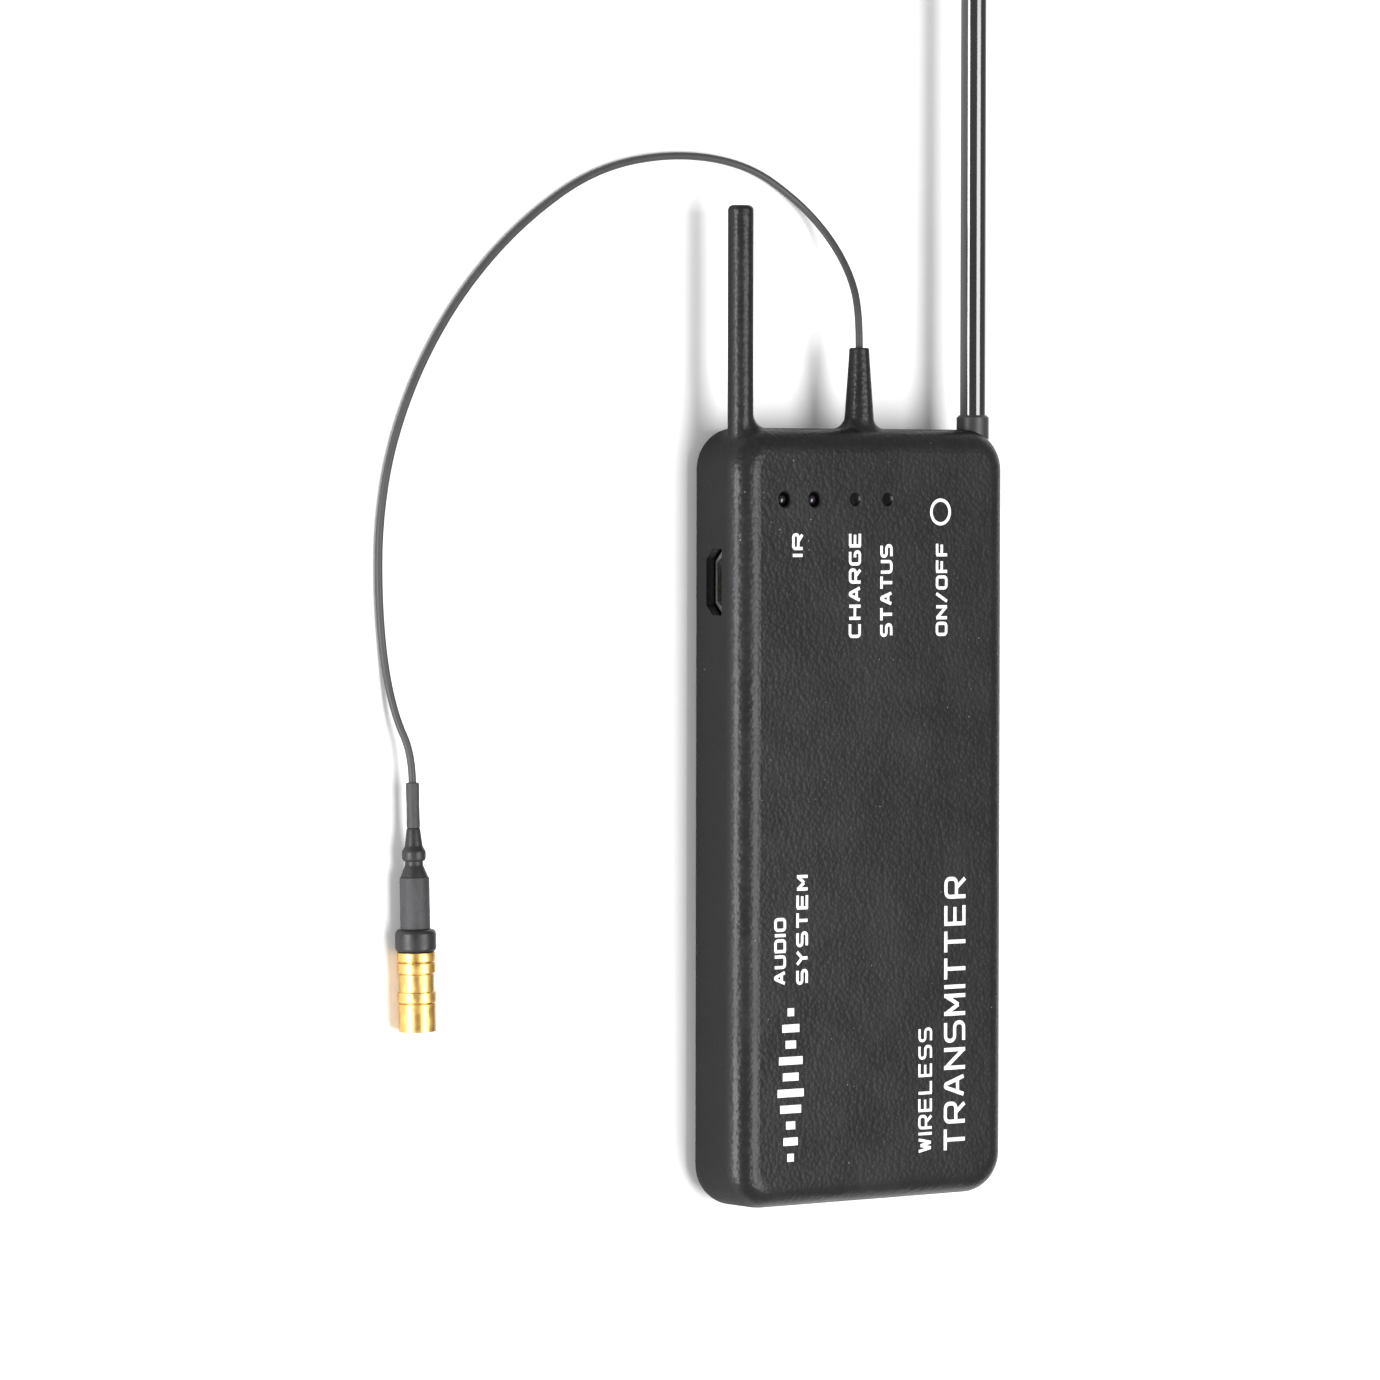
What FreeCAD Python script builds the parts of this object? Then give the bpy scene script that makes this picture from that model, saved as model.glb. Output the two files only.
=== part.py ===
import FreeCAD, Part
import math
import os

# Wireless bodypack transmitter, lying on its back. Millimetres.
# Origin: centre of the flat back face. +X right seen from the front, +Y towards the antennas,
# +Z out of the front.

# --- case ---
case_width = 42.0
case_length = 94.0
case_depth = 10.8
corner_radius = 5.0
edge_radius = 3.0
wall = 1.2
parting_height = 3.0
lip_thickness = 0.5
lip_height = 0.8
lip_clearance = 0.05

# --- antennas and cable boot, all on one centre line behind the front ---
axis_height = 7.1
stub_inset = 2.7
stub_diameter = 3.1
stub_length = 26.7
stub_tip_round = 0.6
stub_flare = 1.9
stub_rod_diameter = 1.2
stub_rod_end = 1.2
whip_inset = 3.0
whip_diameter = 3.15
whip_length = 110.0
whip_tip_round = 1.2
whip_wire_diameter = 0.8
collar_diameter = 4.0
collar_rise = 1.8
collar_chamfer = 0.3
collar_seat = 1.5
socket_diameter = 3.6
socket_length = 6.8
barrel_diameter = 2.4
barrel_wall = 0.35
barrel_reach = 4.4
pin_diameter = 0.44
contact_wall = 0.2
socket_floor = 2.0
boot_length = 9.85
boot_tip_diameter = 2.4
boot_base_diameter = 3.75
boot_flare = 1.6
boot_tip_round = 0.25

# --- fits ---
slip = 0.02
running = 0.05
socket_clearance = 0.05
collar_clearance = 0.1

# --- boards, cell and fasteners ---
board_thickness = 0.8
board_side_gap = 1.2
board_end_gap = 1.2
board_length = 52.6
boss_diameter = 3.6
boss_inset = 4.8
boss_pad_diameter = 4.4
case_screw_diameter = 1.5
case_screw_head = 2.9
case_screw_head_height = 1.0
case_screw_grip = 4.5
head_recess = 0.1
head_clearance = 0.1
post_diameter = 2.6
board_screw_diameter = 1.1
board_screw_head = 2.4
board_screw_head_height = 0.8
board_screw_grip = 1.7
drive_size = 0.7
drive_depth = 0.5
foam_thickness = 0.3
cell_thickness = 4.0
cell_side_room = 7.25
cell_end_room = 6.0
cell_corner = 2.0
cell_edge_round = 1.2

# --- front face: distances of the window centres from the left side, and down from the top end ---
window_drop = 8.6
emitter_inset = 6.65
receiver_inset = 11.25
charge_inset = 17.45
status_inset = 22.5
button_inset = 30.85
button_drop = 10.1
lens_hole_diameter = 1.8
lens_clearance = 0.08
lens_recess = 0.35
lens_hole_chamfer = 0.18
lens_package = (2.6, 2.2, 1.1)
light_hole_diameter = 1.3
light_hole_mouth = 1.7
light_recess = 0.33
light_flange_diameter = 2.2
light_flange_height = 0.6
light_gap = 0.3
led_size = (1.6, 0.8, 0.6)
button_diameter = 3.32
button_flange_diameter = 4.4
button_flange_height = 0.45
button_stem_diameter = 1.4
button_travel = 0.25
switch_size = 3.2
switch_height = 0.8
switch_plunger_diameter = 1.2
switch_plunger_foot = 1.7
switch_cavity_diameter = 2.0
switch_skin = 0.18
switch_floor = 0.1
dome_diameter = 1.8
dome_thickness = 0.05

# --- micro-USB receptacle in the left side ---
usb_drop = 18.55
usb_width = 7.5
usb_height = 2.5
usb_depth = 5.6
usb_recess = 1.25
usb_bevel_width = 1.2
usb_bevel_height = 1.3
usb_sheet = 0.3
usb_rim = 0.25
usb_tongue_width = 3.7
usb_tongue_height = 0.6
usb_tongue_setback = 0.5
usb_tongue_below_board = 0.55
usb_back_wall = 1.0
usb_contact_count = 5
usb_contact_pitch = 0.65
usb_contact_width = 0.35
usb_contact_thickness = 0.05

# --- microphone cable and its gilt coaxial connector ---
cable_diameter = 0.9
core_diameter = 0.24
core_spread = 0.2
crimp_diameter = 2.4
crimp_length = 2.7
plug_turn = 1.5
plug_end = (-62.35, -23.87)
shrink_diameter = 1.58
shrink_length = 5.3
shrink_grip = 0.6
plug_boot_length = 5.75
plug_boot_ring = 2.8
plug_boot_neck = 2.1
plug_bead_start = 2.45
plug_bead_length = 1.4
plug_bead_ease = 0.3
plug_cone_step = 0.1
plug_sleeve_diameter = 3.48
plug_sleeve_length = 6.1
plug_collar_diameter = 4.8
plug_collar_length = 2.7
plug_collar_round = 0.45
gilt_band_diameter = 4.5
gilt_ring_diameter = 4.54
gilt_waist_diameter = 4.18
gilt_groove_diameter = 3.9
gilt_end_diameter = 4.4
gilt_band_length = 1.05
gilt_groove = 0.15
gilt_ring_length = 1.2
gilt_waist_length = 2.1
gilt_end_length = 3.3
gilt_chamfer = 0.15
gilt_bore = 2.6
gilt_mouth = 3.5
gilt_mouth_depth = 4.1
gilt_contact_diameter = 0.8
gilt_contact_bore = 0.5
gilt_contact_setback = 0.8

# --- places worked out from the values above ---
half_width = case_width / 2
half_length = case_length / 2
roof = case_depth - wall
cavity_half_length = half_length - wall
board_low = axis_height - board_thickness / 2
board_high = axis_height + board_thickness / 2
board_end = cavity_half_length - board_end_gap
board_start = board_end - board_length
window_line = half_length - window_drop
usb_line = half_length - usb_drop
upper_boss_line = usb_line - usb_width / 2 - 2.7
lower_boss_line = -half_length + cell_end_room
boss_x = half_width - boss_inset
stub_x = stub_inset - half_width
whip_x = half_width - whip_inset
button_x = button_inset - half_width
button_y = half_length - button_drop
cell_start = lower_boss_line
cell_end = upper_boss_line - 3.0
cell_low = wall + foam_thickness
cell_half_width = half_width - cell_side_room
usb_mouth_x = usb_recess - half_width
usb_low = board_low - usb_height
socket_end = half_length - wall - collar_seat + 1.0
socket_start = socket_end - socket_length
collar_top = half_length + collar_rise
boot_tip = half_length + boot_length
crimp_start = cavity_half_length - 0.1 - crimp_length
tail_start = crimp_start + 1.0
case_screw_places = [(x, y) for y in (lower_boss_line, upper_boss_line) for x in (-boss_x, boss_x)]
post_x = half_width - usb_recess - usb_depth - post_diameter / 2 - 1.05
post_places = [(x, y) for y in (board_start + 3.5, usb_line + 1.05) for x in (-post_x, post_x)]


def V(x, y, z):
    return FreeCAD.Vector(x, y, z)


def box(low, high):
    size = [high[i] - low[i] for i in range(3)]
    return Part.makeBox(size[0], size[1], size[2], V(*low))


def block(centre, size, low):
    """A box of the given width, length and height standing on the height low."""
    x, y = centre
    width, length, height = size
    return box((x - width / 2, y - length / 2, low), (x + width / 2, y + length / 2, low + height))


def post(place, diameter, low, high):
    """A round bar along Z."""
    return Part.makeCylinder(diameter / 2, high - low, V(place[0], place[1], low))


def bar(x, diameter, start, end, height=axis_height):
    """A round bar along Y."""
    return Part.makeCylinder(diameter / 2, end - start, V(x, start, height), V(0, 1, 0))


def turned(profile, origin, axis_x, axis_y):
    """A solid of revolution: profile holds (distance along, radius) pairs, from the axis and back to it."""
    points = [V(0, 0, 0) + axis_x * along + axis_y * radius + origin for along, radius in profile]
    face = Part.Face(Part.makePolygon(points + points[:1]))
    return face.revolve(origin, axis_x, 360)


def turned_y(profile, x):
    """A turned piece along Y, at the antenna height."""
    return turned(profile, V(x, 0, axis_height), V(0, 1, 0), V(1, 0, 0))


def rounded_slab(half_w, start, end, low, high, corner, top_round=0, bottom_round=0):
    """A plate with rounded corners seen from the front, and rounded top and bottom edges."""
    slab = box((-half_w, start, low), (half_w, end, high))
    upright = [e for e in slab.Edges if abs(e.Vertexes[0].Z - e.Vertexes[1].Z) > slip]
    slab = slab.makeFillet(corner, upright)
    for height, size in ((high, top_round), (low, bottom_round)):
        if size:
            rim = [e for e in slab.Edges if all(abs(v.Z - height) < slip / 2 for v in e.Vertexes)]
            slab = slab.makeFillet(size, rim)
    return slab


def inset_slab(inset, low, high, top_round=0, bottom_round=0):
    """The case outline moved inwards by inset."""
    return rounded_slab(half_width - inset, inset - half_length, half_length - inset, low, high,
                        corner_radius - inset, top_round, bottom_round)


def foot_edges(shape, x, radius, end, reach):
    """The edges where a round post along Y at x leaves the case, within reach of its radius."""
    found = []
    for edge in shape.Edges:
        points = edge.discretize(5)
        spread = [abs(math.hypot(p.x - x, p.z - axis_height) - radius) for p in points]
        if max(spread) < reach and max(p.y for p in points) < end:
            found.append(edge)
    return found


def tube(route, diameter):
    """A round cord: straight runs joined by arcs as large as the runs allow."""
    points = [V(*p) for p in route]
    edges = []
    here = points[0]
    for i in range(1, len(points) - 1):
        back = points[i - 1] - points[i]
        ahead = points[i + 1] - points[i]
        run = 0.45 * min(back.Length, ahead.Length)
        back.normalize()
        ahead.normalize()
        middle = back + ahead
        middle.normalize()
        half_turn = (math.pi - back.getAngle(ahead)) / 2
        radius = run / math.tan(half_turn)
        start = points[i] + back * run
        end = points[i] + ahead * run
        top = points[i] + middle * (radius / math.cos(half_turn) - radius)
        edges.append(Part.LineSegment(here, start).toShape())
        edges.append(Part.Arc(start, top, end).toShape())
        here = end
        if len(points) > 6:
            print("cord bend %d radius %.1f" % (i, radius))
    edges.append(Part.LineSegment(here, points[-1]).toShape())
    path = Part.Wire(edges)
    section = Part.Wire(Part.makeCircle(diameter / 2, points[0], points[1] - points[0]))
    solid = path.makePipeShell([section], True, False)
    return solid, path.Length


def usb_outline(grow, start, end):
    """The receptacle's outline, grown outwards, from x = start to x = end."""
    half = usb_width / 2 + grow
    low = usb_low - grow
    high = board_low + grow
    flat = half - usb_bevel_width
    corner = low + usb_bevel_height
    outline = [(-half, high), (half, high), (half, corner), (flat, low), (-flat, low), (-half, corner)]
    points = [V(start, usb_line + y, z) for y, z in outline]
    return Part.Face(Part.makePolygon(points + points[:1])).extrude(V(end - start, 0, 0))


def outer_case():
    """The whole outside, with the stub sleeve and the cable boot growing smoothly out of the top end."""
    slab = rounded_slab(half_width, -half_length, half_length, 0, case_depth, corner_radius, edge_radius,
                        edge_radius)
    inside = half_length - corner_radius - wall
    stub_end = half_length + stub_length
    stub = bar(stub_x, stub_diameter, inside, stub_end)
    tip = [e for e in stub.Edges if all(abs(v.Y - stub_end) < slip for v in e.Vertexes)]
    shape = slab.fuse(stub.makeFillet(stub_tip_round, tip)).removeSplitter()
    foot = foot_edges(shape, stub_x, stub_diameter / 2, half_length + slip, 10 * slip)
    shape = shape.makeFillet(stub_flare, foot)
    taper = (boot_base_diameter - boot_tip_diameter) / boot_length
    root_diameter = boot_tip_diameter + taper * (boot_tip - inside)
    boot = Part.makeCone(root_diameter / 2, boot_tip_diameter / 2, boot_tip - inside,
                         V(0, inside, axis_height), V(0, 1, 0))
    rim = [e for e in boot.Edges if all(abs(v.Y - boot_tip) < slip for v in e.Vertexes)]
    shape = shape.fuse(boot.makeFillet(boot_tip_round, rim)).removeSplitter()
    foot = foot_edges(shape, 0, boot_base_diameter / 2, half_length + slip, boot_base_diameter / 4)
    return shape.makeFillet(boot_flare, foot)


def front_window(x, y, mouth, throat, depth):
    """A round hole through the front with a countersunk mouth."""
    sink = Part.makeCone(throat / 2, mouth / 2, depth, V(x, y, case_depth - depth))
    return sink.fuse(post((x, y), throat, roof - 1, case_depth))


def front_cover():
    lower_half = box((-case_length, -case_length, -1), (case_length, case_length + stub_length,
                                                        parting_height))
    shell = outer_case().cut(lower_half)
    shell = shell.cut(inset_slab(wall, 0, roof, edge_radius - wall))
    bosses = [post(p, boss_diameter, parting_height, roof + slip) for p in case_screw_places]
    bosses += [post(p, post_diameter, board_high, roof + slip) for p in post_places]
    shell = shell.fuse(bosses)
    grip_top = parting_height + case_screw_grip + slip
    drill = [post(p, case_screw_diameter + 2 * slip, parting_height - 1,
                  grip_top) for p in case_screw_places]
    drill += [post(p, board_screw_diameter + 2 * slip, board_high - 1, board_high + board_screw_grip + slip)
              for p in post_places]
    for inset in (emitter_inset, receiver_inset):
        drill.append(front_window(inset - half_width, window_line,
                                  lens_hole_diameter + 2 * lens_hole_chamfer,
                                  lens_hole_diameter, lens_hole_chamfer))
    for inset in (charge_inset, status_inset):
        drill.append(front_window(inset - half_width, window_line, light_hole_mouth,
                                  light_hole_diameter + 2 * slip,
                                  light_recess))
    drill.append(post((button_x, button_y), button_diameter + 2 * running, roof - 1, case_depth + 1))
    drill.append(usb_outline(usb_rim, -half_width - 1, usb_mouth_x))
    drill.append(usb_outline(running, usb_mouth_x, usb_mouth_x + usb_depth))
    drill.append(bar(0, cable_diameter + 2 * slip, cavity_half_length - 1, boot_tip + 1))
    drill.append(bar(stub_x, stub_rod_diameter + 2 * slip, board_start,
                     half_length + stub_length - stub_rod_end))
    drill.append(bar(whip_x, socket_diameter + 2 * socket_clearance, socket_start - 1, socket_end))
    drill.append(bar(whip_x, collar_diameter + 2 * collar_clearance, socket_end, half_length + 1))
    return shell.cut(drill)


def rear_cover():
    upper_half = box((-case_length, -case_length, parting_height),
                     (case_length, case_length + stub_length, case_length))
    shell = outer_case().cut(upper_half)
    lip_inset = wall + lip_clearance
    inner_inset = lip_inset + lip_thickness
    shell = shell.fuse(inset_slab(lip_inset, parting_height - slip, parting_height + lip_height))
    shell = shell.cut(inset_slab(inner_inset, wall, case_depth, 0, edge_radius - wall))
    pads = [post(p, boss_pad_diameter, wall - slip, parting_height) for p in case_screw_places]
    shell = shell.fuse(pads)
    seat = head_recess + case_screw_head_height
    holes = [post(p, case_screw_head + 2 * head_clearance, -1, seat) for p in case_screw_places]
    holes += [post(p, case_screw_diameter + 2 * slip, 0, case_depth) for p in case_screw_places]
    return shell.cut(holes)


def screw(place, head, head_height, shank, grip, seat):
    """A cross-recessed screw pointing up, with its head under the height seat."""
    body = post(place, head, seat - head_height, seat).fuse(post(place, shank, seat, seat + grip))
    bottom = seat - head_height
    for size in ((2 * drive_size, drive_size / 3, drive_depth),
                 (drive_size / 3, 2 * drive_size, drive_depth)):
        body = body.cut(block(place, size, bottom))
    return body


def case_screws():
    seat = head_recess + case_screw_head_height
    grip = parting_height + case_screw_grip - seat
    return Part.makeCompound([screw(p, case_screw_head, case_screw_head_height, case_screw_diameter, grip,
                                    seat)
                              for p in case_screw_places])


def board_screws():
    grip = board_thickness + board_screw_grip
    return Part.makeCompound([screw(p, board_screw_head, board_screw_head_height, board_screw_diameter,
                                    grip, board_low)
                              for p in post_places])


def main_board():
    half = half_width - wall - board_side_gap
    board = box((-half, board_start, board_low), (half, board_end, board_high))
    cuts = [post(p, boss_diameter + 4 * running, board_low - 1, board_high + 1) for p in case_screw_places]
    cuts += [post(p, board_screw_diameter + 4 * running, board_low - 1,
                  board_high + 1) for p in post_places]
    margin = 0.3
    slots = ((whip_x, socket_diameter / 2 + running, socket_start),
             (stub_x, stub_rod_diameter / 2 + margin, stub_foot()),
             (0, crimp_diameter / 2 + margin, crimp_start - 2.0))
    for x, reach, start in slots:
        edge = x + math.copysign(case_width, x) if x else reach
        inner = x - math.copysign(reach, x) if x else -reach
        cuts.append(box((min(edge, inner), start - margin, board_low - 1),
                        (max(edge, inner), half_length, board_high + 1)))
    return board.cut(cuts)


def stub_foot():
    """Where the stub's rod starts, on the board."""
    return board_end - 5.6


def stub_rod():
    return bar(stub_x, stub_rod_diameter, stub_foot(), half_length + stub_length - stub_rod_end)


def stub_clip():
    """A bent clip that holds the rod down on the board's edge."""
    reach = stub_rod_diameter / 2 + 0.3
    low = (stub_x - 0.3, stub_foot(), board_high)
    high = (stub_x + reach + 1.6, stub_foot() + 2.4, board_high + 0.7)
    return box(low, high).cut(stub_rod())


def lens(inset):
    """An infrared lens in its package, on the board."""
    x = inset - half_width
    radius = lens_hole_diameter / 2 - lens_clearance
    top = case_depth - lens_recess
    package = block((x, window_line), lens_package, board_high)
    barrel = post((x, window_line), 2 * radius, board_high, top - radius)
    return package.fuse([barrel, Part.makeSphere(radius, V(x, window_line, top - radius))]).removeSplitter()


def light_pipe(inset):
    place = (inset - half_width, window_line)
    foot = board_high + led_size[2] + light_gap
    pipe = post(place, light_hole_diameter, foot, case_depth - light_recess)
    return pipe.fuse(post(place, light_flange_diameter, roof - light_flange_height, roof))


def led(inset):
    return block((inset - half_width, window_line), led_size, board_high)


def power_button():
    place = (button_x, button_y)
    flange_top = roof - running
    flange_low = flange_top - button_flange_height
    key = post(place, button_diameter, flange_low, case_depth)
    flange = post(place, button_flange_diameter, flange_low, flange_top)
    stem = post(place, button_stem_diameter, plunger_top(), flange_low)
    return key.fuse([flange, stem]).removeSplitter()


def plunger_top():
    return board_high + switch_height + button_travel + 0.2


def switch_body():
    place = (button_x, button_y)
    body = block(place, (switch_size, switch_size, switch_height), board_high)
    cavity = post(place, switch_cavity_diameter, board_high + switch_floor,
                  board_high + switch_height - switch_skin)
    hole = post(place, switch_plunger_diameter + 2 * running, board_high + switch_floor,
                board_high + switch_height + 1)
    return body.cut([cavity, hole])


def switch_plunger():
    place = (button_x, button_y)
    foot_top = board_high + switch_height - switch_skin - slip
    foot_low = foot_top - 0.15
    return post(place, switch_plunger_diameter, foot_low, plunger_top()).fuse(
        post(place, switch_plunger_foot, foot_low, foot_top)).removeSplitter()


def switch_dome():
    low = board_high + switch_floor
    return post((button_x, button_y), dome_diameter, low, low + dome_thickness)


def usb_shell():
    end = usb_mouth_x + usb_depth
    return usb_outline(0, usb_mouth_x, end).cut(usb_outline(-usb_sheet, usb_mouth_x - 1, end + 1))


def usb_tongue():
    end = usb_mouth_x + usb_depth
    high = board_low - usb_tongue_below_board
    tongue = box((usb_mouth_x + usb_tongue_setback, usb_line - usb_tongue_width / 2,
                  high - usb_tongue_height),
                 (end, usb_line + usb_tongue_width / 2, high))
    back = usb_outline(-usb_sheet, end - usb_back_wall, end)
    return tongue.fuse(back).removeSplitter()


def usb_contacts():
    high = board_low - usb_tongue_below_board - usb_tongue_height
    first = usb_line - (usb_contact_count - 1) * usb_contact_pitch / 2
    strips = []
    for i in range(usb_contact_count):
        y = first + i * usb_contact_pitch
        strips.append(box((usb_mouth_x + 2 * usb_tongue_setback, y - usb_contact_width / 2,
                           high - usb_contact_thickness),
                          (usb_mouth_x + usb_depth - usb_back_wall, y + usb_contact_width / 2, high)))
    return Part.makeCompound(strips)


def battery_cell():
    return rounded_slab(cell_half_width, cell_start, cell_end, cell_low, cell_low + cell_thickness,
                        cell_corner,
                        cell_edge_round, cell_edge_round)


def battery_foam():
    margin = 3.0
    return box((margin - cell_half_width, cell_start + margin, wall),
               (cell_half_width - margin, cell_end - margin, cell_low))


def battery_board():
    """The cell's protection board, on its upper end."""
    middle = cell_low + cell_thickness / 2
    half = cell_half_width - 1.0
    return box((-half, cell_end, middle - 0.4), (half, cell_end + 2.2, middle + 0.4))


battery_plug_size = (4.4, 3.0, 1.2)
battery_plug_x = 5.2
battery_plug_start = usb_line - 2.2
battery_plug_low = board_low - 1.7
lead_diameter = 0.7
lead_pitch = 2.0


def battery_lead(side):
    x = battery_plug_x + side * lead_pitch / 2
    start = (x, cell_end + 2.2, cell_low + cell_thickness / 2)
    end = (x, battery_plug_start, battery_plug_low + battery_plug_size[2] / 2)
    reach = (end[1] - start[1]) / 3
    return tube([start, (x, start[1] + reach, start[2]), (x, end[1] - reach, end[2]), end],
                lead_diameter)[0]


def battery_plug():
    return block((battery_plug_x, battery_plug_start + battery_plug_size[1] / 2), battery_plug_size,
                 battery_plug_low)


def battery_socket():
    width, length, height = battery_plug_size
    start = battery_plug_start + length / 2
    side = 0.6
    shell = box((battery_plug_x - width / 2 - side, start, battery_plug_low - side / 2),
                (battery_plug_x + width / 2 + side, start + length, board_low))
    hollow = battery_plug_start + length + slip
    return shell.cut(box((battery_plug_x - width / 2 - slip, start - 1, battery_plug_low - slip),
                         (battery_plug_x + width / 2 + slip, hollow, battery_plug_low + height + slip)))


radio_can_size = (14.0, 12.0, 1.6)
radio_can_sheet = 0.2
radio_can_place = (8.5, upper_boss_line - 10.5)
chips = {
    "processor_chip": ((-8.0, upper_boss_line - 9.5), (7.0, 7.0, 0.9)),
    "audio_chip": ((-3.0, upper_boss_line + 2.5), (4.0, 4.0, 0.8)),
    "charger_chip": ((-3.5, usb_line + 4.0), (3.0, 3.0, 0.8)),
    "radio_chip": (radio_can_place, (5.0, 5.0, 0.8)),
}


def radio_can():
    width, length, height = radio_can_size
    inner = (width - 2 * radio_can_sheet, length - 2 * radio_can_sheet, height - radio_can_sheet)
    return block(radio_can_place, radio_can_size, board_high).cut(block(radio_can_place, inner, board_high))


def antenna_socket():
    """The board's coaxial socket. Its bore takes the plug's barrel."""
    barrel_bore = barrel_diameter / 2 + running
    outer = socket_diameter / 2
    return turned_y([(socket_start, barrel_bore), (socket_start, outer), (socket_end, outer),
                     (socket_end, barrel_bore)],
                    whip_x)


socket_contact_diameter = pin_diameter + 2 * running + 2 * contact_wall


def antenna_socket_insulator():
    return bar(whip_x, barrel_diameter + 2 * running, socket_start, socket_start + socket_floor).cut(
        bar(whip_x, socket_contact_diameter, socket_start - 1, socket_end))


def antenna_socket_contact():
    bore = pin_diameter / 2 + running
    outer = socket_contact_diameter / 2
    start = socket_start - 0.2
    floor = socket_start + socket_floor
    return turned_y([(start, 0), (start, outer), (floor + 2.4, outer), (floor + 2.4, bore),
                     (floor - 0.4, bore),
                     (floor - 0.4, 0)], whip_x)


def antenna_plug():
    """The plug's barrel, with a flange that bears on the socket."""
    outer = barrel_diameter / 2
    inner = outer - barrel_wall
    flange = collar_diameter / 2
    top = socket_end + 0.5
    return turned_y([(socket_end - barrel_reach, inner), (socket_end - barrel_reach, outer),
                     (socket_end, outer),
                     (socket_end, flange), (top, flange), (top, inner)], whip_x)


def antenna_plug_insulator():
    inner = barrel_diameter / 2 - barrel_wall
    bore = pin_diameter / 2 + running
    low = socket_end - 1.2
    high = socket_end + 0.5
    return turned_y([(low, bore), (low, inner), (high, inner), (high, bore)], whip_x)


collar_low = socket_end + 0.5 + running
collar_floor = collar_low + 0.9
jacket_root_diameter = 2.4


def antenna_collar():
    outer = collar_diameter / 2
    bore = jacket_root_diameter / 2
    eye = pin_diameter / 2
    return turned_y([(collar_low, eye), (collar_low, outer), (collar_top - collar_chamfer, outer),
                     (collar_top, outer - collar_chamfer), (collar_top, bore), (collar_floor,
                                                                                bore), (collar_floor, eye)],
                    whip_x)


def antenna_pin():
    return bar(whip_x, pin_diameter, socket_end - barrel_reach + 0.3, collar_floor)


def antenna_wire():
    return bar(whip_x, whip_wire_diameter, collar_floor, half_length + whip_length - 2 * whip_tip_round)


def antenna_jacket():
    end = half_length + whip_length
    jacket = bar(whip_x, whip_diameter, collar_top, end)
    tip = [e for e in jacket.Edges if all(abs(v.Y - end) < slip for v in e.Vertexes)]
    jacket = jacket.makeFillet(whip_tip_round, tip)
    return jacket.fuse(bar(whip_x, jacket_root_diameter, collar_floor, collar_top)).cut(antenna_wire())


def cable_tail():
    """The cable's anchored stretch, from the crimp to the boot's tip."""
    return bar(0, cable_diameter, tail_start, boot_tip)


def cable_crimp():
    return bar(0, crimp_diameter, crimp_start, crimp_start + crimp_length).cut(
        bar(0, cable_diameter, crimp_start - 1, boot_tip))


def cable_cores():
    """The cable's two cores, from the crimp to their pads on the board."""
    pad = crimp_start - 4.0
    lift = board_high + core_diameter / 2
    cores = []
    for side in (-1, 1):
        x = side * core_spread
        route = [(x, tail_start, axis_height), (x, tail_start - 1.4, axis_height),
                 (2 * x, pad + 2.2, lift), (2 * x, pad, lift)]
        cores.append(tube(route, core_diameter)[0])
    return Part.makeCompound(cores)


plug_height = plug_collar_diameter / 2
plug_direction = V(math.sin(math.radians(plug_turn)), -math.cos(math.radians(plug_turn)), 0)
gilt_rings_length = 2 * gilt_ring_length + 3 * gilt_groove
gilt_length = gilt_band_length + gilt_rings_length + gilt_waist_length + gilt_end_length
gilt_start = shrink_length + plug_boot_length + plug_sleeve_length + plug_collar_length
plug_start = V(plug_end[0], plug_end[1], plug_height) - plug_direction * (gilt_start + gilt_length)


def plug_piece(profile):
    """A turned piece on the connector's axis; distances run from the shrink sleeve's mouth."""
    return turned(profile, plug_start, plug_direction, V(0, 0, 1))


def ring_profile(start, end, outer, bore):
    return [(start, bore), (start, outer), (end, outer), (end, bore)]


def shrink_sleeve():
    bore = cable_diameter / 2
    return plug_piece(ring_profile(0, shrink_length, shrink_diameter / 2, bore))


def plug_boot():
    """A moulded strain relief: a neck, a bead and a cone that meets the sleeve."""
    bore = cable_diameter / 2
    neck = plug_boot_neck / 2
    bead = plug_boot_ring / 2
    start = shrink_length
    ease = plug_bead_ease
    bead_start = start + plug_bead_start
    bead_end = bead_start + plug_bead_length
    end = start + plug_boot_length
    return plug_piece([(start, bore), (start, shrink_diameter / 2), (bead_start - ease, neck),
                       (bead_start, bead - ease / 2), (bead_start + ease, bead), (bead_end - ease, bead),
                       (bead_end, bead - ease / 2), (bead_end, neck), (bead_end + 2 * ease, neck),
                       (end, plug_sleeve_diameter / 2 - plug_cone_step), (end, bore)])


def plug_sleeve():
    start = shrink_length + plug_boot_length
    return plug_piece(ring_profile(start, start + plug_sleeve_length, plug_sleeve_diameter / 2,
                                   cable_diameter / 2))


def plug_collar():
    start = gilt_start - plug_collar_length
    outer = plug_collar_diameter / 2
    bore = cable_diameter / 2
    round_off = plug_collar_round
    return plug_piece([(start, bore), (start, outer - round_off),
                       (start + round_off / 3, outer - round_off / 3),
                       (start + round_off, outer), (gilt_start - round_off, outer),
                       (gilt_start - round_off / 3, outer - round_off / 3), (gilt_start, outer - round_off),
                       (gilt_start, bore)])


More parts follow.
